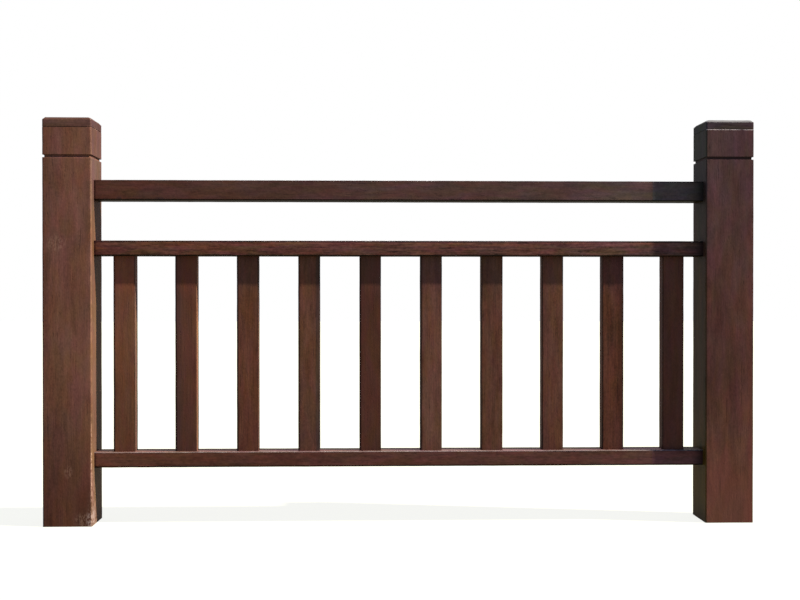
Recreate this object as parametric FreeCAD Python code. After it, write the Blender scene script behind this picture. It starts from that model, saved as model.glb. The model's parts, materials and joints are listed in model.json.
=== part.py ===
"""Timber deck railing section: two square capped posts, three rails and a row of balusters.

Sizes are in millimetres. The origin is the centre of the left post's foot. +X runs along the
railing to the right post, +Y points to the back and +Z is up.
"""
import FreeCAD, Part
import math
import os

# Overall length, and the posts at its two ends
railing_length = 1760.0
post_side = 120.0
post_shaft_height = 982.0
post_top_chamfer = 1.2
post_edge_radius = 3.0

# Square groove round each post, below its cap
groove_width = 7.0
groove_depth = 4.0
groove_below_cap = 72.0

# Cap board glued on each post, flush with its sides
cap_thickness = 23.0
cap_top_chamfer = 5.5

# Rails, centred on the depth of the posts
rail_depth = 68.0
rail_edge_radius = 3.0
top_rail_height = 50.0
middle_rail_height = 38.0
bottom_rail_height = 38.0
bottom_rail_lift = 141.0
infill_height = 487.0
hand_gap = 100.0

# Balusters, centred in the bay and on the depth of the rails
baluster_width = 54.0
baluster_depth = 36.0
baluster_edge_radius = 2.5
baluster_pitch = 153.0
least_end_gap = 30.0

# Blind mortise and tenon joints, with tight shoulders and room for glue round the tenons
rail_tenon_shoulder = 9.0
rail_tenon_length = 40.0
baluster_tenon_shoulder = 7.0
baluster_tenon_length = 14.0
tenon_side_clearance = 0.3
tenon_end_clearance = 2.0

# Places that follow from the sizes above
clear_bay = railing_length - 2 * post_side
bay_start = post_side / 2
right_post_x = railing_length - post_side
bottom_rail_top = bottom_rail_lift + bottom_rail_height
middle_rail_under = bottom_rail_top + infill_height
middle_rail_top = middle_rail_under + middle_rail_height
top_rail_under = middle_rail_top + hand_gap

up = FreeCAD.Vector(0, 0, 1)
quarter_turn = math.pi / 2


def rounded_rectangle(width, depth, radius, height):
    """Level outline centred on the Z axis: width along X, depth along Y, round corners."""
    arcs = []
    for corner, (side_x, side_y) in enumerate([(1, 1), (-1, 1), (-1, -1), (1, -1)]):
        centre = FreeCAD.Vector(side_x * (width / 2 - radius), side_y * (depth / 2 - radius), height)
        start = corner * quarter_turn
        arcs.append(Part.ArcOfCircle(Part.Circle(centre, up, radius), start, start + quarter_turn))
    edges = []
    for arc, following in zip(arcs, arcs[1:] + arcs[:1]):
        edges.append(arc.toShape())
        edges.append(Part.LineSegment(arc.EndPoint, following.StartPoint).toShape())
    return Part.Wire(edges)


def square_column(levels):
    """Post or cap from (height, inset) levels: straight, tapered or, at one height, stepped."""
    outlines = []
    for height, inset in levels:
        side = post_side - 2 * inset
        outlines.append(rounded_rectangle(side, side, post_edge_radius, height))
    stages = []
    for step, (lower, upper) in enumerate(zip(outlines, outlines[1:])):
        height, inset = levels[step]
        next_height, next_inset = levels[step + 1]
        if height == next_height:
            continue
        if inset == next_inset:
            stages.append(Part.Face(lower).extrude(up * (next_height - height)))
        else:
            stages.append(Part.makeLoft([lower, upper], True, True))
    return stages[0].multiFuse(stages[1:]).removeSplitter()


def post():
    """Square post with eased edges, a groove all round and a chamfer that marks the cap's joint."""
    groove_foot = post_shaft_height - groove_below_cap - groove_width / 2
    groove_head = groove_foot + groove_width
    return square_column([
        (0, 0),
        (groove_foot, 0),
        (groove_foot, groove_depth),
        (groove_head, groove_depth),
        (groove_head, 0),
        (post_shaft_height - post_top_chamfer, 0),
        (post_shaft_height, post_top_chamfer),
    ])


def cap():
    """Cap board with a bevelled top edge."""
    top = post_shaft_height + cap_thickness
    return square_column([
        (post_shaft_height, 0),
        (top - cap_top_chamfer, 0),
        (top, cap_top_chamfer),
    ])


class Timber:
    """A straight bar with a stub tenon at each end, drawn upright on the Z axis."""

    def __init__(self, width, depth, radius, length, shoulder, tenon):
        self.width, self.depth, self.radius, self.length = width, depth, radius, length
        self.shoulder, self.tenon = shoulder, tenon
        self.place = FreeCAD.Placement()

    def core(self, side_room, end_room):
        """The square bar inside the timber that stands out as its two tenons."""
        width = self.width - 2 * self.shoulder + 2 * side_room
        depth = self.depth - 2 * self.shoulder + 2 * side_room
        reach = self.tenon + end_room
        corner = FreeCAD.Vector(-width / 2, -depth / 2, -reach)
        return Part.makeBox(width, depth, self.length + 2 * reach, corner)

    def solid(self):
        outline = rounded_rectangle(self.width, self.depth, self.radius, 0)
        bar = Part.Face(outline).extrude(up * self.length)
        shape = bar.fuse(self.core(0, 0)).removeSplitter()
        shape.Placement = self.place
        return shape

    def mortises(self):
        shape = self.core(tenon_side_clearance, tenon_end_clearance)
        shape.Placement = self.place
        return shape


def rail(under, height):
    """Rail between the posts, with its underside at the given height."""
    timber = Timber(height, rail_depth, rail_edge_radius, clear_bay, rail_tenon_shoulder, rail_tenon_length)
    along_x = FreeCAD.Rotation(FreeCAD.Vector(0, 1, 0), 90)
    timber.place = FreeCAD.Placement(FreeCAD.Vector(bay_start, 0, under + height / 2), along_x)
    return timber


def baluster(x):
    """Upright between the bottom and middle rails, centred at x."""
    timber = Timber(baluster_width, baluster_depth, baluster_edge_radius, infill_height,
                    baluster_tenon_shoulder, baluster_tenon_length)
    timber.place = FreeCAD.Placement(FreeCAD.Vector(x, 0, bottom_rail_top), FreeCAD.Rotation())
    return timber


def baluster_centres():
    """As many balusters as the pitch leaves room for, centred in the bay."""
    room = clear_bay - baluster_width - 2 * least_end_gap
    spaces = int(room // baluster_pitch)
    first = bay_start + (clear_bay - spaces * baluster_pitch) / 2
    return [first + i * baluster_pitch for i in range(spaces + 1)]


def mortised(shape, timbers):
    """The shape with blind mortises for the tenons of the given timbers."""
    return shape.cut([timber.mortises() for timber in timbers]).removeSplitter()


def build():
    rails = {
        "bottom_rail": rail(bottom_rail_lift, bottom_rail_height),
        "middle_rail": rail(middle_rail_under, middle_rail_height),
        "top_rail": rail(top_rail_under, top_rail_height),
    }
    balusters = [baluster(x) for x in baluster_centres()]

    nodes = {}
    for side, x in (("left", 0), ("right", right_post_x)):
        across = FreeCAD.Vector(x, 0, 0)
        nodes[side + "_post"] = mortised(post().translated(across), rails.values())
        nodes[side + "_post_cap"] = cap().translated(across)
    nodes["top_rail"] = rails["top_rail"].solid()
    for name in ("middle_rail", "bottom_rail"):
        nodes[name] = mortised(rails[name].solid(), balusters)
    for number, timber in enumerate(balusters, 1):
        nodes["baluster_%02d" % number] = timber.solid()
    return nodes


os.makedirs("parts", exist_ok=True)
for name, shape in build().items():
    shape.exportStep("parts/%s.step" % name)
    print("%-16s solids %d, valid %s, volume %.0f" % (name, len(shape.Solids), shape.isValid(), shape.Volume))
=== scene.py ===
import bmesh
import bpy
import json
import math
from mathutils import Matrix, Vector


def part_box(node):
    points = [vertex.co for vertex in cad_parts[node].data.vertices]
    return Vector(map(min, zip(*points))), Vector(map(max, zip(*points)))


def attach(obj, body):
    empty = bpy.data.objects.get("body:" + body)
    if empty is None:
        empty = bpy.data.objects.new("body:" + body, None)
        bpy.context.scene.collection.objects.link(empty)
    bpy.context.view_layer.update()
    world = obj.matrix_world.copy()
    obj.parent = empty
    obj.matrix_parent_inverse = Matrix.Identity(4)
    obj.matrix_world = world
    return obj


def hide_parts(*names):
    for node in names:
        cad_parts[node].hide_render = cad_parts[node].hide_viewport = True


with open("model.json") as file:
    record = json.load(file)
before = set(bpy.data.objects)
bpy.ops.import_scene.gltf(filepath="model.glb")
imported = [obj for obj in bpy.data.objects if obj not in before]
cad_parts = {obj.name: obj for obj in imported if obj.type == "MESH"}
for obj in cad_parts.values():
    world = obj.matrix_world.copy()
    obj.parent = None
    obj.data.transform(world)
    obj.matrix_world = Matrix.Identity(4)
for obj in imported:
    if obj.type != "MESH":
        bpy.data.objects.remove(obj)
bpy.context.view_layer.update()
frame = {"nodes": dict(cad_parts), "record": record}        # seventeen timbers, all on one body
print("frame loaded:", len(frame["nodes"]), "timbers")

leftPostLow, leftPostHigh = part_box("left_post")
rightPostLow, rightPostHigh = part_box("right_post")
postStep = rightPostLow.x - leftPostLow.x
slots = {entry["node"]: entry["material_slot"] for entry in frame["record"]["subparts"]}
balusterNames = sorted(name for name in frame["nodes"] if name.startswith("baluster"))
railNames = ["bottom_rail", "middle_rail", "top_rail"]
alongX, alongY, alongZ = 0, 1, 2
leftFace, rightFace = (alongX, -1), (alongX, 1)        # a timber's faces: an axis and the end of it
underFace, topFace = (alongZ, -1), (alongZ, 1)
frontFace = (alongY, -1)
below, beyond = -9, 9                                  # open ends of a stretch, well past the railing
holdWidth = 0.0008                                     # a strip beside each eased edge keeps the flats flat
arrisSteps, chamferSteps = 3, 1                        # facets across an eased arris and a plain chamfer
arrisSlack = 1.05                                      # an arris is marked a little wider than it is
samePlace, closeBy = 1e-5, 1e-4                        # metres
squarely = 0.9                                         # how far a normal has to agree with an axis
sharpFrom = math.radians(40)                           # edges that turn more than this are sharp


# camera: a little left of the middle, turned slightly right, near half the posts' height

cameraView = {
    "place": (0.7184, -3.0809, 0.5795),
    "turnRight": math.radians(1.866),
    "tiltDown": math.radians(0.434),
    "lens": 55.01, "sensor": 36,                       # millimetres
}


def setCamera(view):
    bpy.ops.object.select_all(action="DESELECT")
    tilt = (math.pi / 2 - view["tiltDown"], 0, -view["turnRight"])
    bpy.ops.object.camera_add(location=view["place"], rotation=tilt)
    camera = bpy.context.object
    camera.data.sensor_width = view["sensor"]
    camera.data.lens = view["lens"]
    bpy.context.scene.camera = camera
    print("camera set")


# modelling tools

def makeActive(piece):                                 # in object mode, with nothing else selected
    bpy.ops.object.mode_set(mode="OBJECT")
    bpy.ops.object.select_all(action="DESELECT")
    piece.select_set(True)
    bpy.context.view_layer.objects.active = piece


def startTimber(name, low, high):                      # a cube at the timber's size and place
    bpy.ops.object.select_all(action="DESELECT")
    bpy.ops.mesh.primitive_cube_add(size=1, location=(low + high) / 2)
    piece = bpy.context.object
    piece.name = name
    piece.data.name = name
    piece.scale = high - low
    bpy.ops.object.transform_apply(location=True, rotation=True, scale=True)
    return piece


def pick(piece, kind, test):                           # in edit mode, select what passes the test
    bpy.ops.object.mode_set(mode="EDIT")
    bpy.ops.mesh.select_mode(type=kind)
    bpy.ops.mesh.select_all(action="DESELECT")
    mesh = bmesh.from_edit_mesh(piece.data)
    parts = {"VERT": mesh.verts, "EDGE": mesh.edges, "FACE": mesh.faces}[kind]
    for part in parts:
        if test(part):
            part.select_set(True)
    bmesh.update_edit_mesh(piece.data)


def axisVector(axis, length=1.0):
    vector = Vector((0, 0, 0))
    vector[axis] = length
    return vector


def otherAxes(axis):
    return [a for a in (alongX, alongY, alongZ) if a != axis]


def saw(axis, stations):                               # cut the mesh through at each station along an axis
    bpy.ops.object.mode_set(mode="EDIT")
    for station in stations:
        bpy.ops.mesh.select_all(action="SELECT")
        bpy.ops.mesh.bisect(plane_co=axisVector(axis, station), plane_no=axisVector(axis))


def evenly(start, end, step):                          # stations between two ends, about one step apart
    count = max(2, round((end - start) / step))
    return [start + (end - start) * i / count for i in range(1, count)]


def boardCuts(start, end, step, arris):                # as evenly, with a cut close beside each eased edge
    margin = arris + holdWidth
    return [start + margin] + evenly(start + margin, end - margin, step) + [end - margin]


def pull(axis, length):                                # extrude the selected faces along an axis
    bpy.ops.mesh.extrude_region_move(TRANSFORM_OT_translate={"value": axisVector(axis, length)})


def drawTenon(piece, axis, side, shoulder, length):    # inset an end face and pull it out
    pick(piece, "FACE", lambda face: face.normal[axis] * side > squarely)
    bpy.ops.mesh.inset(thickness=shoulder)
    pull(axis, side * length)


def mortiseHoles(names, grain, shoulder):              # (low, high) of the hole for each timber's tenon
    inset = Vector([shoulder - railShape["mortiseRoom"]] * 3)
    inset[grain] = 0
    return [(low + inset, high - inset) for low, high in (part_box(name) for name in names)]


def chopMortises(piece, face, level, holes, spread, depth):    # holes side by side along the spread axis
    axis, side = face
    saw(spread, [hole[end][spread] for hole in holes for end in (0, 1)])
    saw(alongY, [holes[0][end].y for end in (0, 1)])

    def inHole(part):
        middle = part.calc_center_median()
        if part.normal[axis] * side < squarely or abs(middle[axis] - level) > closeBy:
            return False
        return any(all(low[a] < middle[a] < high[a] for a in otherAxes(axis)) for low, high in holes)

    pick(piece, "FACE", inHole)
    pull(axis, -side * depth)


def easeEdges(piece, test, radius, segments):
    pick(piece, "EDGE", test)
    bpy.ops.mesh.bevel(offset=radius, offset_type="OFFSET", segments=segments,
                       profile=0.5, affect="EDGES")


def onArris(low, high, grain):                         # a test for the four long corner edges of a bar
    def test(edge):
        first, second = (v.co for v in edge.verts)
        if abs(first[grain] - second[grain]) < samePlace:
            return False
        return all(min(abs(v[a] - low[a]), abs(v[a] - high[a])) < samePlace
                   for v in (first, second) for a in otherAxes(grain))
    return test


def upright(edge):                                     # a corner edge of a square column about the origin
    first, second = (v.co for v in edge.verts)
    return abs(first.z - second.z) > samePlace and abs(abs(first.x) - abs(first.y)) < samePlace


def rimAt(level):                                      # a test for the edges round a level
    return lambda edge: all(abs(v.co.z - level) < samePlace for v in edge.verts)


def soften(piece, width, segments):                    # round the edges that are still sharp
    bpy.ops.object.mode_set(mode="OBJECT")
    modifier = piece.modifiers.new("soften", "BEVEL")
    modifier.width = width
    modifier.segments = segments
    modifier.limit_method = "ANGLE"
    modifier.angle_limit = sharpFrom
    bpy.ops.object.modifier_apply(modifier="soften")


def markVerts(piece, label, reading):                  # a number on each vertex, read by the finish
    bpy.ops.object.mode_set(mode="OBJECT")
    layer = piece.data.attributes.new(label, "FLOAT", "POINT")
    for vertex, entry in zip(piece.data.vertices, layer.data):
        entry.value = reading(vertex.co)


def markArrises(piece, low, high, grain, radius):      # 1 on the eased corners, 0 on the flats
    def reading(co):
        inside = [min(co[a] - low[a], high[a] - co[a]) for a in otherAxes(grain)]
        return 1.0 if max(inside) < radius * arrisSlack else 0.0
    markVerts(piece, "arris", reading)


def copyTimber(master, name, shift, halfTurnAbout=None):    # a copy with a mesh of its own
    makeActive(master)
    bpy.ops.object.duplicate()
    piece = bpy.context.object
    piece.name = name
    piece.data.name = name
    bpy.ops.object.mode_set(mode="EDIT")
    bpy.ops.mesh.select_all(action="SELECT")
    if halfTurnAbout is not None:
        bpy.ops.transform.rotate(value=math.pi, orient_axis="Z", center_override=halfTurnAbout)
    bpy.ops.transform.translate(value=shift)
    bpy.ops.object.mode_set(mode="OBJECT")
    return piece


# the hand of the plane, and knocks on the corners, as displacement

toolMarks = {                                          # metres, and the noise that moves nothing
    "planingSize": 0.075, "planingDepth": 0.0005, "planingLevel": 0.5,
    "knocksSize": 0.035, "knocksDepth": -0.0005, "knocksLevel": 0.45,
    "layers": 2,
    "smoothAngle": math.radians(38),
}


def displace(piece, marks, label, group=""):
    cloud = bpy.data.textures.new(piece.name + "_" + label, "CLOUDS")
    cloud.noise_scale = marks[label + "Size"]
    cloud.noise_depth = marks["layers"]
    modifier = piece.modifiers.new(label, "DISPLACE")
    modifier.texture = cloud
    modifier.texture_coords = "LOCAL"
    modifier.strength = marks[label + "Depth"]
    modifier.mid_level = marks[label + "Level"]
    modifier.vertex_group = group
    bpy.ops.object.modifier_apply(modifier=label)


def weather(piece, marks):
    corners = piece.vertex_groups.new(name="corners")
    arrisWearAndShading = [i for i, entry in enumerate(piece.data.attributes["arris"].data) if entry.value > 0.5]
    corners.add(arrisWearAndShading, 1.0, "REPLACE")
    displace(piece, marks, "planing")
    displace(piece, marks, "knocks", "corners")
    piece.vertex_groups.clear()
    bpy.ops.object.shade_smooth_by_angle(angle=marks["smoothAngle"])


# shader sums

class Wire:                                            # one socket of a node tree, good for sums
    def __init__(self, tree, socket=None):
        self.tree = tree
        self.socket = socket

    def node(self, kind, settings=None, sockets=None, out=0):    # any node: settings first, then sockets
        made = self.tree.nodes.new(kind)
        for key, value in (settings or {}).items():
            setattr(made, key, value)
        for key, value in (sockets or {}).items():
            if isinstance(value, Wire):
                self.tree.links.new(value.socket, made.inputs[key])
            else:
                made.inputs[key].default_value = value
        return Wire(self.tree, made.outputs[out])

    def sum(self, operation, first, second=0.0):
        return self.node("ShaderNodeMath", {"operation": operation}, {0: first, 1: second})

    def __add__(self, other):
        return self.sum("ADD", self, other)

    def __sub__(self, other):
        return self.sum("SUBTRACT", self, other)

    def __rsub__(self, other):
        return self.sum("SUBTRACT", other, self)

    def __mul__(self, other):
        return self.sum("MULTIPLY", self, other)

    __radd__ = __add__
    __rmul__ = __mul__

    def mark(self, label):                             # a number that the piece's vertices carry
        return self.node("ShaderNodeAttribute", {"attribute_name": label}, None, "Fac")

    def step(self, low, high):                         # 0 below low, 1 above high, smooth between
        return self.node("ShaderNodeMapRange", {"interpolation_type": "SMOOTHSTEP"},
                         {"Value": self, "From Min": low, "From Max": high})

    def blend(self, first, second):                    # a colour between two, by the second one's share
        return self.node("ShaderNodeMix", {"data_type": "RGBA"}, {0: self, 6: first, 7: second}, 2)

    def tinted(self, tint):                            # this colour times another
        return self.node("ShaderNodeVectorMath", {"operation": "MULTIPLY"}, {0: self, 1: tint})

    def shaded(self, amount):                          # this colour times a number
        return self.node("ShaderNodeVectorMath", {"operation": "SCALE"}, {0: self, "Scale": amount})

    def distance(self, point):
        return self.node("ShaderNodeVectorMath", {"operation": "DISTANCE"}, {0: self, 1: point}, "Value")

    def stretched(self, shift, scale):                 # coordinates moved and scaled for a pattern
        return self.node("ShaderNodeMapping", None, {"Vector": self, "Location": shift, "Scale": scale})

    def noise(self, detail, distortion):
        return self.node("ShaderNodeTexNoise", None, {"Vector": self, "Scale": 1.0, "Detail": detail,
                                                      "Roughness": 0.55, "Distortion": distortion})


def display(red, green, blue):                         # a colour as a screen shows it, made linear
    def linear(value):
        value = value / 255
        return value / 12.92 if value <= 0.04045 else ((value + 0.055) / 1.055) ** 2.4
    return (linear(red), linear(green), linear(blue), 1.0)


# timber finish: dark oiled hardwood, mottled, with streaks and fibres along the grain

bareWood = (160, 128, 110)                             # where the oil is rubbed through

patterns = {                                           # detail, distortion, the noise read as 0 and as 1
    "cloud": (2, 0.5, 0.32, 0.68),
    "patch": (3, 0.6, 0.34, 0.66),
    "strand": (2, 0.3, 0.28, 0.72),
    "fibre": (2, 0.0, 0.28, 0.72),
    "mottle": (2, 0.4, 0.28, 0.72),
    "grit": (2, 0.0, 0.28, 0.72),
    "blush": (2, 0.5, 0.3, 0.7),
    "amber": (2, 0.5, 0.3, 0.7),
    "dash": (1, 0.0, 0.0, 0.07),                       # this and crack count from the look's own start
    "crack": (1, 0.2, 0.0, 0.05),
}
tonePatterns = ("cloud", "patch", "strand", "fibre", "mottle", "grit")

grainLook = {                                          # (across, along) the grain per metre, depth of tone
    "cloud": (13, 2.6, 0.20),
    "patch": (46, 9, 0.20),
    "strand": (130, 12, 0.09),
    "fibre": (380, 20, 0.03),
    "mottle": (110, 60, 0.15),
    "grit": (240, 160, 0.20),
    "dash": (190, 44, 0.20),
    "crack": (230, 7, 0.30),
    "blush": (30, 11, 0.075),                          # from red to green
    "amber": (26, 9, 0.30),                            # from yellow to blue
    "greenShare": 1.4,                                 # what green loses for what red gains
    "dashFrom": 0.63, "crackFrom": 0.69,               # the higher, the fewer
    "seedSteps": (3.1, 1.7, 2.3),                      # from one timber's patterns to the next one's
    "rings": (0.0075, 0.03),                           # spacing in metres, depth of tone
    "heart": (0.031, 0.083, 0.047),                    # their centre, from the timber's middle
    "ringsWander": 0.05,
    "depth": 1.0,                                      # how strongly all of the grain shows
    "calm": [],                                        # stretches where it shows less: axis, span, share
    "turns": (0.0, 0.5, 0.5, 1.0),                     # shares where one tone turns into the next
    "sides": [],                                       # faces tinted otherwise, mostly to paint the light and shade each face gets: face, spans, tint
    "sideFrom": 0.0032, "sideFull": 0.0012,            # how far below a face its tint starts and is whole
    "bands": [],                                       # stretches tinted along an axis, for stains and for painted shade and highlight: axis, span, tint
    "lean": 0.0,                                       # lift of tone from edge to edge along nearAxis
    "nearAxis": alongX,
    "nearFrom": None,                                  # how deep the near side goes, or half of the timber
    "nearFade": 0.0005,
    "arrisWearAndShading": (-0.1, 0.25, 0.9),                         # lift of tone on far and near arrises, breaks: painted highlight and shade along the edges, with some wear
    "pale": 0.08,                                      # how far the near arrises are paled, for wear and for painted highlight
    "rubAndGlint": bareWood,
    "slot": 0.45,                                      # how much of the tone the painted shade in the groove leaves
    "markSteps": (0.3, 0.9),                           # where a mark on the vertices starts and is whole
    "rim": None,                                       # tone of the bevel where cap and post meet or end
    "rimSpans": {},                                    # the part of that bevel that is meant, if not all
    "rimPatch": 0.6, "rimSteps": (0.15, 0.6),          # how patches and clouds break it up
    "spots": [],                                       # rubbed places, stains and painted shade: centre, reach, strength, tone, grain
    "spotFade": 0.6,
    "spotMottle": 0.5, "spotSteps": (0.45, 1.1),       # how mottle and the pattern break them up
    "rough": 0.44,
    "roughBy": {"fibre": 0.1, "strand": 0.06, "dash": 0.1},
    "raiseBy": {"fibre": 0.4, "strand": 0.4, "grit": 0.3, "dash": -0.6, "crack": -1.0},
    "raiseStrength": 0.35, "raiseHeight": 0.0005,
    "coat": 0.11, "coatRoughness": 0.4,                # a thin film of oil over a matt ground
}


class TimberFinish:                                    # one timber's material, and the patterns in it
    def __init__(self, node, grain, look, seed):
        self.low, self.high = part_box(node)
        self.grain, self.look, self.seed = grain, look, seed
        self.material = bpy.data.materials.new(node + "_finish")
        self.material.use_nodes = True
        self.wire = Wire(self.material.node_tree)
        self.place = self.wire.node("ShaderNodeTexCoord", out="Object")
        self.axes = [self.wire.node("ShaderNodeSeparateXYZ", None, {0: self.place}, axis)
                     for axis in (alongX, alongY, alongZ)]
        self.readings = {kind: self.read(kind) for kind in patterns}
        self.readings["dash"] = self.readings["dash"] * self.readings["cloud"]
        self.quiet = 1.0                               # how much of the grain shows, from place to place
        for axis, span, less in look["calm"]:
            self.quiet = self.quiet * (1 - self.within(axis, span) * less)

    def layer(self, kind, detail, distortion=0.0):     # noise drawn out along the grain
        across, along = self.look[kind][:2]
        scale = [across] * 3
        scale[self.grain] = along
        right, back, up = (self.seed * step for step in self.look["seedSteps"])
        return self.place.stretched((right + across, back, up + along), scale).noise(detail, distortion)

    def read(self, kind):                              # a pattern as a number from 0 to 1
        detail, distortion, none, full = patterns[kind]
        start = self.look.get(kind + "From", 0)
        return self.layer(kind, detail, distortion).step(start + none, start + full)

    def within(self, axis, span):                      # 1 inside a stretch along an axis: start, end, fade
        start, end, fade = span
        along = self.axes[axis]
        return along.step(start, start + fade) * (1 - along.step(end - fade, end))

    def narrowed(self, share, spans):                  # a share that counts only inside its stretches
        for axis, span in spans.items():
            share = share * self.within(axis, span)
        return share

    def facing(self, face):                            # 1 on one face of the timber
        axis, side = face
        edge = self.high[axis] if side > 0 else -self.low[axis]
        return (self.axes[axis] * side).step(edge - self.look["sideFrom"], edge - self.look["sideFull"])

    def weighed(self, start, weights):                 # a number plus patterns, each times its weight
        for kind, weight in weights.items():
            start = start + self.readings[kind] * weight
        return start

    def tone(self, tones):                             # from end to end, then by faces, stretches and hue
        look, readings = self.look, self.readings
        low, high = self.low[self.grain], self.high[self.grain]
        share = (self.axes[self.grain] - low) * (1 / (high - low))
        start, middle, end = [display(*entry) for entry in tones]
        turns = look["turns"]
        tone = share.step(turns[0], turns[1]).blend(start, middle)
        tone = share.step(turns[2], turns[3]).blend(tone, end)
        for face, spans, tint in look["sides"]:
            tone = self.narrowed(self.facing(face), spans).blend(tone, tone.tinted(tint))
        for axis, span, tint in look["bands"]:
            tone = self.within(axis, span).blend(tone, tone.tinted(tint))
        blush = (readings["blush"] - 0.5) * (look["blush"][2] * self.quiet)
        amber = (readings["amber"] - 0.5) * (look["amber"][2] * self.quiet)
        green = 1 - blush * look["greenShare"]
        hue = self.wire.node("ShaderNodeCombineXYZ", None, {0: 1 + blush, 1: green, 2: 1 + amber})
        return tone.tinted(hue)

    def rings(self):                                   # growth rings about a heart outside the timber
        flat = [1.0, 1.0, 1.0]
        flat[self.grain] = 0.0
        sides = zip(self.low, self.high, self.look["heart"])
        heart = [(start + end) / 2 + offset for start, end, offset in sides]
        heart[self.grain] = 0.0
        spacing, depth = self.look["rings"]
        outward = self.place.tinted(flat).distance(heart)
        outward = outward + self.layer("cloud", 1) * self.look["ringsWander"]
        return self.wire.sum("SINE", outward * (2 * math.pi / spacing)) * depth

    def grainLevel(self):                              # light and dark of the grain, about 1
        look, readings = self.look, self.readings
        level = readings["dash"] * -look["dash"][2] - readings["crack"] * look["crack"][2]
        for kind in tonePatterns:
            level = level + (readings[kind] - 0.5) * look[kind][2]
        return 1 + (level + self.rings()) * (look["depth"] * self.quiet)

    def rimmed(self, tone):                            # the bevel where cap and post meet or end, in a tone of its own: dark joints on the left, painted highlight and sky reflection on the right
        look = self.look
        rimBreakup = self.readings["patch"] * look["rimPatch"] + self.readings["cloud"]
        bevel = self.wire.mark("rim").step(*look["markSteps"]) * rimBreakup.step(*look["rimSteps"])
        return self.narrowed(bevel, look["rimSpans"]).blend(tone, display(*look["rim"]))

    def spotted(self, colour):                         # scuffs, stains and painted shade
        for centre, reach, strength, spotTone, kind in self.look["spots"]:
            inside = self.place.stretched([-c / r for c, r in zip(centre, reach)], [1 / r for r in reach])
            spotBreakup = self.readings["mottle"] * self.look["spotMottle"] + self.readings[kind]
            mask = (1 - inside.distance((0, 0, 0))).step(0.0, self.look["spotFade"])
            share = mask * spotBreakup.step(*self.look["spotSteps"]) * strength
            colour = share.blend(colour, display(*spotTone))
        return colour

    def colour(self, tones):                           # tone times level, then arrises with wear and painted highlight and shade, and spots
        look = self.look
        along = self.axes[look["nearAxis"]]
        first, last = self.low[look["nearAxis"]], self.high[look["nearAxis"]]
        nearFrom = last - (look["nearFrom"] or (last - first) / 2)
        nearSide = along.step(nearFrom - look["nearFade"], nearFrom + look["nearFade"])
        far, near, breaks = look["arrisWearAndShading"]
        arris = self.wire.mark("arris").step(*look["markSteps"])
        arris = arris * (1 - breaks / 2 + self.readings["mottle"] * breaks)
        level = self.grainLevel() + (along - (first + last) / 2) * (look["lean"] / (last - first))
        # the arrises' tone lifted by the near and far amounts: painted highlight and painted shade along
        # the edges, with some wear
        level = level + arris * (nearSide * (near - far) + far)
        # the groove's inside darkened: painted shade
        level = level * (1 - self.wire.mark("slot") * (1 - look["slot"]))
        tone = self.rimmed(self.tone(tones)) if look["rim"] else self.tone(tones)
        arrisWearAndShading = (arris * nearSide * look["pale"]).blend(tone.shaded(level), display(*look["rubAndGlint"]))
        return self.spotted(arrisWearAndShading)

    def brushOn(self, piece, tones):
        look = self.look
        shader = self.material.node_tree.nodes["Principled BSDF"]
        relief = {
            "Height": self.weighed(0.0, look["raiseBy"]),
            "Strength": look["raiseStrength"],
            "Distance": look["raiseHeight"],
        }
        wires = {
            "Base Color": self.colour(tones),
            "Roughness": self.weighed(look["rough"], look["roughBy"]),
            "Normal": self.wire.node("ShaderNodeBump", None, relief),
        }
        for socket, wire in wires.items():
            self.material.node_tree.links.new(wire.socket, shader.inputs[socket])
        shader.inputs["Specular IOR Level"].default_value = 0.0
        shader.inputs["Coat Weight"].default_value = look["coat"]
        shader.inputs["Coat Roughness"].default_value = look["coatRoughness"]
        piece.data.materials.clear()
        piece.data.materials.append(self.material)


def finishTimber(piece, node, grain, tones, look):
    makeActive(piece)
    weather(piece, toolMarks)
    TimberFinish(node, grain, look, 1 + sorted(slots).index(node)).brushOn(piece, tones)
    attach(piece, "root")
    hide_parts(node)
    print("finished", piece.name, len(piece.data.polygons), "faces")


# posts: grooved below the cap, finely chamfered at its joint, mortised for the rails

postShape = {
    "arris": 0.003,
    "topChamfer": 0.0012,
    "grooveWidth": 0.007,
    "grooveDepth": 0.004,
    "grooveBelowTop": 0.072,
    "softEdge": 0.0006, "softSteps": 2,
    "jointReach": 1.3,                                 # the joint's mark, as a share of the top chamfer
    "cutAlong": 0.009,
    "cutAcross": 0.014,
}

postTones = {                                          # foot, middle and head, as the eye sees them; the right post's purplish head is painted sky reflection
    "left_post": ((77, 46, 35), (97, 63, 51), (98, 63, 51)),
    "right_post": ((92, 56, 46), (75, 46, 40), (71, 50, 50)),
}
postGroove = leftPostHigh.z - postShape["grooveBelowTop"]    # height of the groove's middle
capJoint = leftPostHigh.z
postFront, leftPostInner = leftPostLow.y, leftPostHigh.x
railLevels = [(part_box(name)[0].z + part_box(name)[1].z) / 2 for name in railNames]

aboveGroove = (postGroove, beyond, 0.002)
headStretch = (0.60, postGroove, 0.08)                 # the upper part of the right post's front
paleStrip = (below, rightPostLow.x + 0.050, 0.025)
darkStrip = (rightPostLow.x + 0.055, rightPostHigh.x - 0.012, 0.022)

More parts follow.
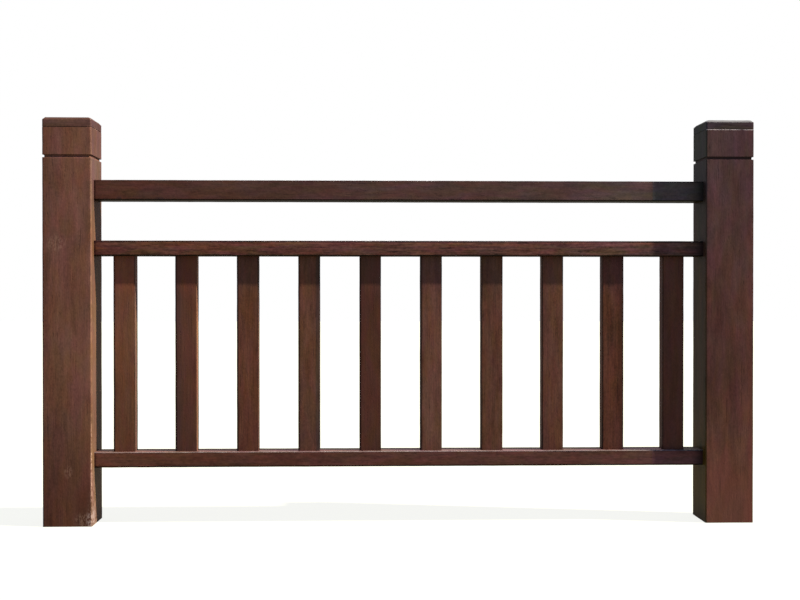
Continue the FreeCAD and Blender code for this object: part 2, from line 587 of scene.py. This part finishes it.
postLooks = {
    "left_post": {
        **grainLook,
        # near arrises lighter: a painted highlight where the lamp catches them
        "arrisWearAndShading": (-0.1, 0.4, 0.9),
        "pale": 0.05,
        "slot": 0.9,
        "rim": (62, 40, 34),
        "lean": 0.4,
        "turns": (0.05, 0.37, 0.5, 1.0),
        "sides": [
            (frontFace, {alongX: (below, -0.020, 0.040), alongZ: (0.28, beyond, 0.15)}, (0.88, 0.84, 0.90)),
            (frontFace, {alongX: (0.015, beyond, 0.030), alongZ: (below, 0.15, 0.08)}, (0.76, 0.74, 0.68)),
            # the inner face's tints paint the light it gets: toned down where the lamp strikes it, lighter
            # and paler low down as painted bounce light
            (rightFace, {}, (0.70, 0.79, 0.69)),
            (rightFace, {alongZ: (below, 0.24, 0.08)}, (1.54, 1.80, 1.95)),
            (rightFace, {alongZ: (0.68, beyond, 0.2)}, (0.74, 0.83, 1.13)),
            (rightFace, {alongZ: aboveGroove}, (0.94, 0.83, 0.83)),
        ],
        # a lighter strip under the groove: painted highlight on its lower lip
        "bands": [(alongZ, (postGroove - 0.007, postGroove - 0.003, 0.001), (1.2, 1.2, 1.25))],
        "spots": [
            ((leftPostInner, 0.0, capJoint), (0.004, 0.07, 0.002), 0.5, (190, 150, 140), "patch"),
            ((-0.026, postFront, 0.695), (0.030, 0.02, 0.028), 0.14, bareWood, "grit"),
            ((0.003, postFront, 0.134), (0.014, 0.02, 0.020), 0.16, bareWood, "grit"),
            ((0.040, postFront, 0.016), (0.028, 0.02, 0.022), 0.22, bareWood, "grit"),
            ((leftPostInner, -0.040, 0.03), (0.02, 0.030, 0.12), 0.24, (150, 116, 108), "mottle"),
            ((leftPostInner, -0.045, 0.0), (0.02, 0.045, 0.060), 0.38, (170, 155, 152), "grit"),
            ((leftPostInner, postFront, 0.13), (0.005, 0.005, 0.17), 0.45, (170, 136, 122), "grit"),
        ],
    },
    "right_post": {
        **grainLook,
        "cloud": (13, 2.6, 0.26),
        "patch": (40, 9, 0.26),
        "strand": (110, 12, 0.07),
        "grit": (240, 160, 0.15),
        "blush": (24, 9, 0.10),
        "calm": [
            (alongZ, (below, 0.20, 0.12), 0.5),
            (alongX, (rightPostHigh.x - 0.005, beyond, 0.004), 0.45),
        ],
        "turns": (0.12, 0.38, 0.42, 1.0),
        "sides": [
            (frontFace, {alongX: paleStrip, alongZ: headStretch}, (1.09, 1.07, 1.07)),
            (frontFace, {alongX: darkStrip, alongZ: headStretch}, (0.86, 0.83, 0.82)),
            # the outer face toned down where the lamp strikes it; the inner face given the colours of its
            # shade, olive low down and darker at the foot: painted shade and painted bounce light
            (rightFace, {}, (0.80, 0.82, 0.70)),
            (leftFace, {}, (0.76, 1.00, 0.62)),
            (leftFace, {alongZ: (below, 0.34, 0.2)}, (0.89, 1.00, 0.48)),
            (leftFace, {alongZ: (below, 0.07, 0.06)}, (0.60, 0.56, 0.75)),
            (leftFace, {alongZ: (0.62, beyond, 0.2)}, (0.63, 0.70, 1.02)),
            (leftFace, {alongZ: aboveGroove}, (0.88, 1.03, 0.95)),
        ],
        "bands": [(alongX, (rightPostHigh.x - 0.018, rightPostHigh.x, 0.008), (1.05, 0.97, 1.0))],
        "arrisWearAndShading": (-0.03, -0.5, 0.6),
        "pale": 0.0,
        # a pale broken line along the joint bevel: painted highlight
        "rim": (160, 146, 146),
        "spots": [
            # dark patches round each rail's joint on the post's inner face: painted shade
            *[((rightPostLow.x, -0.02, level), (0.006, 0.04, 0.045), 0.6, (16, 13, 12), "cloud")
              for level in railLevels],
            ((rightPostLow.x + 0.036, postFront, 0.10), (0.0024, 0.02, 0.05), 0.6, (60, 37, 31), "strand"),
        ],
    },
}


def buildPost():
    shape = postShape
    low, high = leftPostLow, leftPostHigh
    piece = startTimber("left_post_timber", low, high)
    grooveFoot = high.z - shape["grooveBelowTop"] - shape["grooveWidth"] / 2
    grooveHead = grooveFoot + shape["grooveWidth"]
    saw(alongZ, [grooveFoot, grooveHead])
    pick(piece, "FACE", lambda face: grooveFoot < face.calc_center_median().z < grooveHead)
    bpy.ops.mesh.extrude_region_shrink_fatten(
        TRANSFORM_OT_shrink_fatten={"value": -shape["grooveDepth"], "use_even_offset": True})
    easeEdges(piece, upright, shape["arris"], arrisSteps)
    easeEdges(piece, rimAt(high.z), shape["topChamfer"], chamferSteps)
    holes = mortiseHoles(railNames, alongX, railShape["tenonShoulder"])
    tenon = high.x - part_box("top_rail")[0].x
    chopMortises(piece, rightFace, high.x, holes, alongZ, tenon + railShape["mortiseEndRoom"])
    saw(alongZ, boardCuts(low.z, grooveFoot, shape["cutAlong"], shape["softEdge"]))
    saw(alongZ, boardCuts(grooveHead, high.z - shape["topChamfer"], shape["cutAlong"], shape["softEdge"]))
    for axis in (alongX, alongY):
        saw(axis, boardCuts(low[axis], high[axis], shape["cutAcross"], shape["arris"]))
    soften(piece, shape["softEdge"], shape["softSteps"])
    markArrises(piece, low, high, alongZ, shape["arris"])
    mouth = shape["grooveDepth"] / 2

    def inGroove(co):
        inside = min(co.x - low.x, high.x - co.x, co.y - low.y, high.y - co.y)
        return 1.0 if inside > mouth and grooveFoot - closeBy < co.z < grooveHead + closeBy else 0.0
    markVerts(piece, "slot", inGroove)
    jointFoot = high.z - shape["topChamfer"] * shape["jointReach"]

    def onJoint(co):                                   # the bevel under the cap, front and back
        inside = min(co.y - low.y, high.y - co.y)
        return 1.0 if co.z > jointFoot and inside < shape["arris"] else 0.0
    markVerts(piece, "rim", onJoint)
    return piece


# caps: a board with a bevelled top edge, its corners knocked, its bevel in a tone of its own

capShape = {
    "arris": 0.003,
    "topChamfer": 0.0055,
    "softEdge": 0.0011, "softSteps": 3,
    "cutAcross": 0.008,
    "rimHigh": 0.85, "rimWide": 1.1,                   # the bevel's mark, as shares of its reach
}

capTones = {
    "left_post_cap": ((88, 61, 52), (88, 61, 52), (88, 61, 52)),
    "right_post_cap": ((57, 46, 46), (55, 45, 46), (57, 44, 43)),
}

capLooks = {
    "left_post_cap": {
        **grainLook,
        # its inner face toned down where the lamp strikes it: painted shade
        "sides": [(rightFace, {}, (0.56, 0.53, 0.67))],
        "rim": (70, 48, 41),
    },
    "right_post_cap": {
        **grainLook,
        "strand": (150, 12, 0.22),
        "amber": (36, 10, 0.40),
        # its inner face given the colour of its shade: painted shade
        "sides": [(leftFace, {}, (0.66, 0.95, 0.9))],
        # the front top bevel pale grey: painted reflection of the sky
        "rim": (100, 98, 99),
        "rimSpans": {alongY: (below, -0.05, 0.003)},
        "arrisWearAndShading": (-0.2, -0.5, 0.6),
        "pale": 0.0,
        "spots": [
            ((rightPostLow.x + 0.045, postFront, capJoint + 0.008), (0.038, 0.02, 0.008),
             0.8, (34, 25, 25), "strand"),
        ],
    },
}


def buildCap():
    shape = capShape
    low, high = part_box("left_post_cap")
    piece = startTimber("left_cap_board", low, high)
    easeEdges(piece, rimAt(high.z), shape["topChamfer"], chamferSteps)
    easeEdges(piece, upright, shape["arris"], arrisSteps)
    soften(piece, shape["softEdge"], shape["softSteps"])
    reach = shape["topChamfer"] + shape["softEdge"]
    for axis in (alongX, alongY):
        saw(axis, boardCuts(low[axis], high[axis], shape["cutAcross"], reach))
        saw(axis, [low[axis] + shape["arris"] + holdWidth, high[axis] - shape["arris"] - holdWidth])
    saw(alongZ, boardCuts(low.z, high.z - shape["topChamfer"], shape["cutAcross"], shape["softEdge"]))
    markArrises(piece, low, high, alongZ, shape["arris"])
    rimHigh, rimWide = reach * shape["rimHigh"], reach * shape["rimWide"]

    def onBevel(co):
        inside = min(co.x - low.x, high.x - co.x, co.y - low.y, high.y - co.y)
        return 1.0 if high.z - co.z < rimHigh and inside < rimWide else 0.0
    markVerts(piece, "rim", onBevel)
    return piece


# rails: a bar between the posts with a stub tenon in each, the lower two mortised for the balusters

railShape = {
    "arris": 0.003,
    "tenonShoulder": 0.009,
    "mortiseRoom": 0.0003,
    "mortiseEndRoom": 0.002,
    "cutAlong": 0.009,
    "cutAcross": 0.012,
}

railTones = {                                          # left end, middle and right end; the greyer, purpler right ends are painted sky reflection
    "top_rail": ((74, 45, 36), (71, 48, 45), (78, 60, 58)),
    "middle_rail": ((82, 50, 39), (81, 50, 43), (86, 58, 53)),
    "bottom_rail": ((80, 47, 36), (76, 45, 39), (79, 50, 44)),
}


def besideRightPost(reach, fade):                      # a stretch of a rail that ends at the right post
    return (rightPostLow.x - reach, beyond, fade)


postShadowStretch = besideRightPost(0.130, 0.004)                # the stretch of a rail in the right post's shadow, tinted to the shadow's colour: painted shadow
cornerShadeStretch = besideRightPost(0.062, 0.036)                # its last part, darker towards the post: painted shade in the corner
# the last few centimetres, darkest where the rail meets the post: painted shade
railCornerShade = besideRightPost(0.032, 0.030)
# the left ends darkened where the rails meet the left post: painted shade
leftCornerShade = (below, leftPostHigh.x + 0.006, 0.002)

railLook = {
    **grainLook,
    "nearAxis": alongZ,
    "arrisWearAndShading": (-0.5, -0.55, 0.5),
    "pale": 0.0,
    "sides": [
        # undersides dark and olive, and both rail ends darkened at the posts: painted shade and painted
        # bounce light
        (underFace, {}, (0.36, 0.42, 0.22)),
        (frontFace, {alongX: railCornerShade}, (0.35, 0.38, 0.40)),
        (frontFace, {alongX: leftCornerShade}, (0.55, 0.55, 0.60)),
    ],
}
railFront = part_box("top_rail")[0].y
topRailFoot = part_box("top_rail")[0].z
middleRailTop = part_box("middle_rail")[1].z
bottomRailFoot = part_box("bottom_rail")[0].z
darkStain = topRailFoot + 0.0045                       # height of two stains on the top rail
brightStrip = (middleRailTop - 0.0145, middleRailTop - 0.003, 0.003)
# the middle rail's front darker along its top edge, the bottom rail's along its foot
darkerTopEdge = (middleRailTop - 0.005, beyond, 0.002)
darkerFootEdge = (below, bottomRailFoot + 0.005, 0.002)
sunnyHalf, shadyHalf = (below, 0.012, 0.004), (0.012, beyond, 0.004)    # of the bottom rail's top face

railLooks = {
    "top_rail": {
        **railLook,
        "strand": (150, 12, 0.14),
        "mottle": (120, 55, 0.22),
        "blush": (40, 12, 0.12),
        "amber": (36, 10, 0.34),
        "sides": railLook["sides"] + [
            # the stretch in the right post's shadow and the corner by the post: painted shadow and painted
            # shade
            (frontFace, {alongX: postShadowStretch}, (0.77, 1.085, 1.275)),
            (frontFace, {alongX: cornerShadeStretch}, (0.78, 0.80, 0.74)),
        ],
        "spots": [
            ((0.122, railFront, darkStain), (0.010, 0.02, 0.006), 0.6, (34, 26, 28), "grit"),
            ((0.228, railFront, darkStain), (0.024, 0.02, 0.006), 0.6, (34, 26, 32), "grit"),
        ],
    },
    "middle_rail": {
        **railLook,
        "sides": railLook["sides"] + [
            # the stretch in the right post's shadow and the corner by the post: painted shadow and painted
            # shade
            (frontFace, {alongX: postShadowStretch}, (0.80, 0.80, 0.86)),
            (frontFace, {alongX: cornerShadeStretch}, (0.62, 0.64, 0.66)),
            (frontFace, {alongZ: darkerTopEdge}, (0.50, 0.50, 0.60)),
            (frontFace, {alongZ: brightStrip}, (1.17, 1.12, 1.06)),
        ],
        "cloud": (13, 2.6, 0.10),
        "patch": (60, 10, 0.12),
        "strand": (180, 9, 0.36),
        "fibre": (330, 18, 0.46),
        "mottle": (130, 50, 0.22),
        "grit": (240, 120, 0.44),
        "dash": (200, 18, 0.34),
        "dashFrom": 0.58,
        "blush": (70, 14, 0.16),
        "amber": (60, 12, 0.44),
        "lean": 0.16,
    },
    "bottom_rail": {
        **railLook,
        "sides": railLook["sides"] + [
            # the stretch in the right post's shadow: painted shadow
            (frontFace, {alongX: postShadowStretch}, (1.13, 1.06, 1.376)),
            (frontFace, {alongZ: darkerFootEdge}, (0.50, 0.45, 0.42)),
            # the top face lighter in front and darker behind, and dark in the right post's shadow: painted
            # light, painted shade and painted shadow
            (topFace, {alongY: sunnyHalf}, (1.15, 1.55, 2.00)),
            (topFace, {alongY: shadyHalf}, (0.45, 0.48, 0.50)),
            (topFace, {alongX: besideRightPost(0.085, 0.040)}, (0.36, 0.45, 0.38)),
        ],
        "depth": 0.85,
        "strand": (150, 12, 0.30),
        "mottle": (120, 60, 0.28),
        "grit": (240, 120, 0.30),
        "blush": (44, 14, 0.10),
        "amber": (36, 10, 0.30),
        "arrisWearAndShading": (-0.5, -0.35, 0.9),
        # the top front arris paled: a painted highlight line, with some wear
        "nearFrom": 0.0013,
        "pale": 0.26,
        "rubAndGlint": (150, 142, 140),
    },
}


def buildRail(name, mortised=None):                    # mortised: the face that takes the balusters, if any
    shape = railShape
    low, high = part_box(name)
    tenon = leftPostHigh.x - low.x
    low = Vector((low.x + tenon, low.y, low.z))
    high = Vector((high.x - tenon, high.y, high.z))
    piece = startTimber(name + "_timber", low, high)
    for side in (-1, 1):
        drawTenon(piece, alongX, side, shape["tenonShoulder"], tenon)
    easeEdges(piece, onArris(low, high, alongX), shape["arris"], arrisSteps)
    if mortised:
        holes = mortiseHoles(balusterNames, alongZ, balusterShape["tenonShoulder"])
        level = high.z if mortised == topFace else low.z
        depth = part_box("bottom_rail")[1].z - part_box(balusterNames[0])[0].z + shape["mortiseEndRoom"]
        chopMortises(piece, mortised, level, holes, alongX, depth)
    saw(alongX, evenly(low.x, high.x, shape["cutAlong"]))
    for axis in (alongY, alongZ):
        saw(axis, boardCuts(low[axis], high[axis], shape["cutAcross"], shape["arris"]))
    markArrises(piece, low, high, alongX, shape["arris"])
    return piece


# balusters: one modelled, the others copied from it

balusterShape = {
    "arris": 0.0025,
    "tenonShoulder": 0.007,
    "cutAlong": 0.009,
    "cutAcross": 0.012,
}

balusterTones = [                                      # left to right
    (97, 61, 45), (80, 48, 37), (83, 49, 36), (87, 55, 42), (69, 40, 31),
    (90, 58, 46), (83, 52, 40), (81, 50, 39), (79, 46, 34), (76, 45, 37),
]
balusterFeet = {1: (87, 54, 39), 2: (70, 42, 33), 4: (80, 51, 42)}    # tone low down, where it differs
balusterShadowTones = {                                      # tone in the middle rail's shadow, set to that shadow's colour: painted light and shade
    1: (108, 63, 49), 2: (88, 51, 36), 3: (81, 50, 40), 4: (85, 53, 41), 5: (75, 46, 38),
    6: (83, 54, 47), 7: (80, 52, 41), 8: (83, 52, 41), 9: (73, 43, 38),
}
balusterGrain = [0.55, 0.45, 1.0, 1.0, 0.55, 0.9, 1.0, 1.05, 1.4, 0.7]    # how strongly the grain shows
# balusters whose left edge is darkened: painted shade
leftShadeBalusters = range(1, 7)
brightSideBaluster, stripedBaluster = 2, 4

balusterLook = {
    **grainLook,
    "strand": (140, 8, 0.20),
    "blush": (44, 13, 0.08),
    "amber": (36, 10, 0.32),
    "turns": (0.05, 0.6, 0.76, 0.86),
    "arrisWearAndShading": (-0.5, -0.5, 0.5),
    "pale": 0.0,
    # the lit right faces tinted paler and cooler: painted light
    "sides": [(rightFace, {}, (0.9, 1.15, 1.4))],
}


def balusterFinish(number, node):
    look = {**balusterLook, "depth": balusterGrain[number - 1]}
    left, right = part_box(node)[0].x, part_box(node)[1].x
    shadedLeftEdge = (below, left + 0.006, 0.002)
    bluishHalf = (below, left + 0.022, 0.014)
    shadedRightStrip = (right - 0.012, beyond, 0.004)
    # a dark band along the left edge: painted shade
    if number in leftShadeBalusters:
        look["bands"] = [(alongX, shadedLeftEdge, (0.5, 0.5, 0.55))]
    if number == brightSideBaluster:                         # paler still on its right side: painted light
        look["sides"] = [(rightFace, {}, (2.0, 2.4, 2.3))]
        look["bands"] = look["bands"] + [(alongX, bluishHalf, (0.80, 0.89, 1.10))]
    # a dark bluish strip along the right edge of the front: painted shade of a side turned to view
    if number == stripedBaluster:
        look["sides"] = look["sides"] + [(frontFace, {alongX: shadedRightStrip}, (0.66, 0.82, 1.0))]
    return look


def buildBaluster():
    shape = balusterShape
    low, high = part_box(balusterNames[0])
    low = Vector((low.x, low.y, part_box("bottom_rail")[1].z))
    high = Vector((high.x, high.y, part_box("middle_rail")[0].z))
    tenon = low.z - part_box(balusterNames[0])[0].z
    piece = startTimber(balusterNames[0] + "_timber", low, high)
    for side in (-1, 1):
        drawTenon(piece, alongZ, side, shape["tenonShoulder"], tenon)
    easeEdges(piece, onArris(low, high, alongZ), shape["arris"], arrisSteps)
    saw(alongZ, evenly(low.z, high.z, shape["cutAlong"]))
    for axis in (alongX, alongY):
        saw(axis, boardCuts(low[axis], high[axis], shape["cutAcross"], shape["arris"]))
    markArrises(piece, low, high, alongZ, shape["arris"])
    return piece


# studio: a pale floor, a white surround, a key lamp high on the right and a soft one behind

studio = {
    "keyFrom": (5.0, -1.0, 4.65),
    "keyStrength": 11.7, "keySpread": math.radians(1.2), "keyColour": (1.0, 0.945, 0.79),
    "fillFrom": (0.0, 4.0, 3.6),
    "fillStrength": 2.4, "fillSpread": math.radians(6), "fillColour": (1.0, 0.96, 0.90),
    "skyStrength": 0.72, "skyColour": (0.50, 0.63, 1.0),
    "floorSize": 40, "floorBounce": (0.14, 0.14, 0.09), "floorGlow": 0.80,
}


def seenDirectly(wire):                                # 1 for what the camera sees, also by reflection
    path = wire.node("ShaderNodeLightPath", out="Is Camera Ray")
    outputs = path.socket.node.outputs
    glossy = Wire(wire.tree, outputs["Is Glossy Ray"])
    through = Wire(wire.tree, outputs["Is Transmission Ray"])
    return path.sum("MAXIMUM", path, path.sum("MAXIMUM", glossy, through))


def hangLamp(settings, name):
    bpy.ops.object.select_all(action="DESELECT")
    travel = -Vector(settings[name + "From"])
    bpy.ops.object.light_add(type="SUN", rotation=travel.to_track_quat("-Z", "Y").to_euler())
    lamp = bpy.context.object.data
    lamp.energy = settings[name + "Strength"]
    lamp.angle = settings[name + "Spread"]
    lamp.color = settings[name + "Colour"]


def buildStudio(settings):
    bpy.ops.object.mode_set(mode="OBJECT")
    for name in ("key", "fill"):
        hangLamp(settings, name)

    world = bpy.data.worlds.new("surround")
    bpy.context.scene.world = world
    world.use_nodes = True
    tree = world.node_tree
    back = tree.nodes["Background"]
    seen = seenDirectly(Wire(tree))
    colour = seen.blend((*settings["skyColour"], 1), (1, 1, 1, 1))
    strength = settings["skyStrength"] + seen * (1 - settings["skyStrength"])
    tree.links.new(colour.socket, back.inputs["Color"])
    tree.links.new(strength.socket, back.inputs["Strength"])

    middle = (postStep / 2, 0, leftPostLow.z)
    bpy.ops.mesh.primitive_plane_add(size=settings["floorSize"], location=middle)
    floor = bpy.context.object
    floor.name = "floor"
    paint = bpy.data.materials.new("floor_paint")
    paint.use_nodes = True
    tree = paint.node_tree
    shader = tree.nodes["Principled BSDF"]
    shader.inputs["Base Color"].default_value = (*settings["floorBounce"], 1)
    shader.inputs["Roughness"].default_value = 1.0
    shader.inputs["Specular IOR Level"].default_value = 0.0
    shader.inputs["Emission Strength"].default_value = 1.0
    glow = seenDirectly(Wire(tree)).blend((0, 0, 0, 1), (*[settings["floorGlow"]] * 3, 1))
    tree.links.new(glow.socket, shader.inputs["Emission Color"])
    floor.data.materials.append(paint)
    print("studio built")


setCamera(cameraView)

posts = {"left_post": buildPost()}
toRightPost, leftPostFoot = (postStep, 0, 0), (0, 0, 0)
posts["right_post"] = copyTimber(posts["left_post"], "right_post_timber", toRightPost, leftPostFoot)
caps = {"left_post_cap": buildCap()}
caps["right_post_cap"] = copyTimber(caps["left_post_cap"], "right_cap_board", toRightPost)
print("posts and caps modelled")

rails = {"top_rail": buildRail("top_rail")}
rails["middle_rail"] = buildRail("middle_rail", underFace)
rails["bottom_rail"] = buildRail("bottom_rail", topFace)
print("rails modelled")

balusters = {balusterNames[0]: buildBaluster()}
for name in balusterNames[1:]:
    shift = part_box(name)[0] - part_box(balusterNames[0])[0]
    balusters[name] = copyTimber(balusters[balusterNames[0]], name + "_timber", shift)
print("balusters modelled")

for node, piece in posts.items():
    finishTimber(piece, node, alongZ, postTones[node], postLooks[node])
for node, piece in caps.items():
    finishTimber(piece, node, alongX, capTones[node], capLooks[node])
for node, piece in rails.items():
    finishTimber(piece, node, alongX, railTones[node], railLooks[node])
for number, (node, piece) in enumerate(balusters.items(), 1):
    tone = balusterTones[number - 1]
    tones = (balusterFeet.get(number, tone), tone, balusterShadowTones.get(number, tone))
    finishTimber(piece, node, alongZ, tones, balusterFinish(number, node))

buildStudio(studio)

bpy.context.scene.view_settings.view_transform = "Standard"
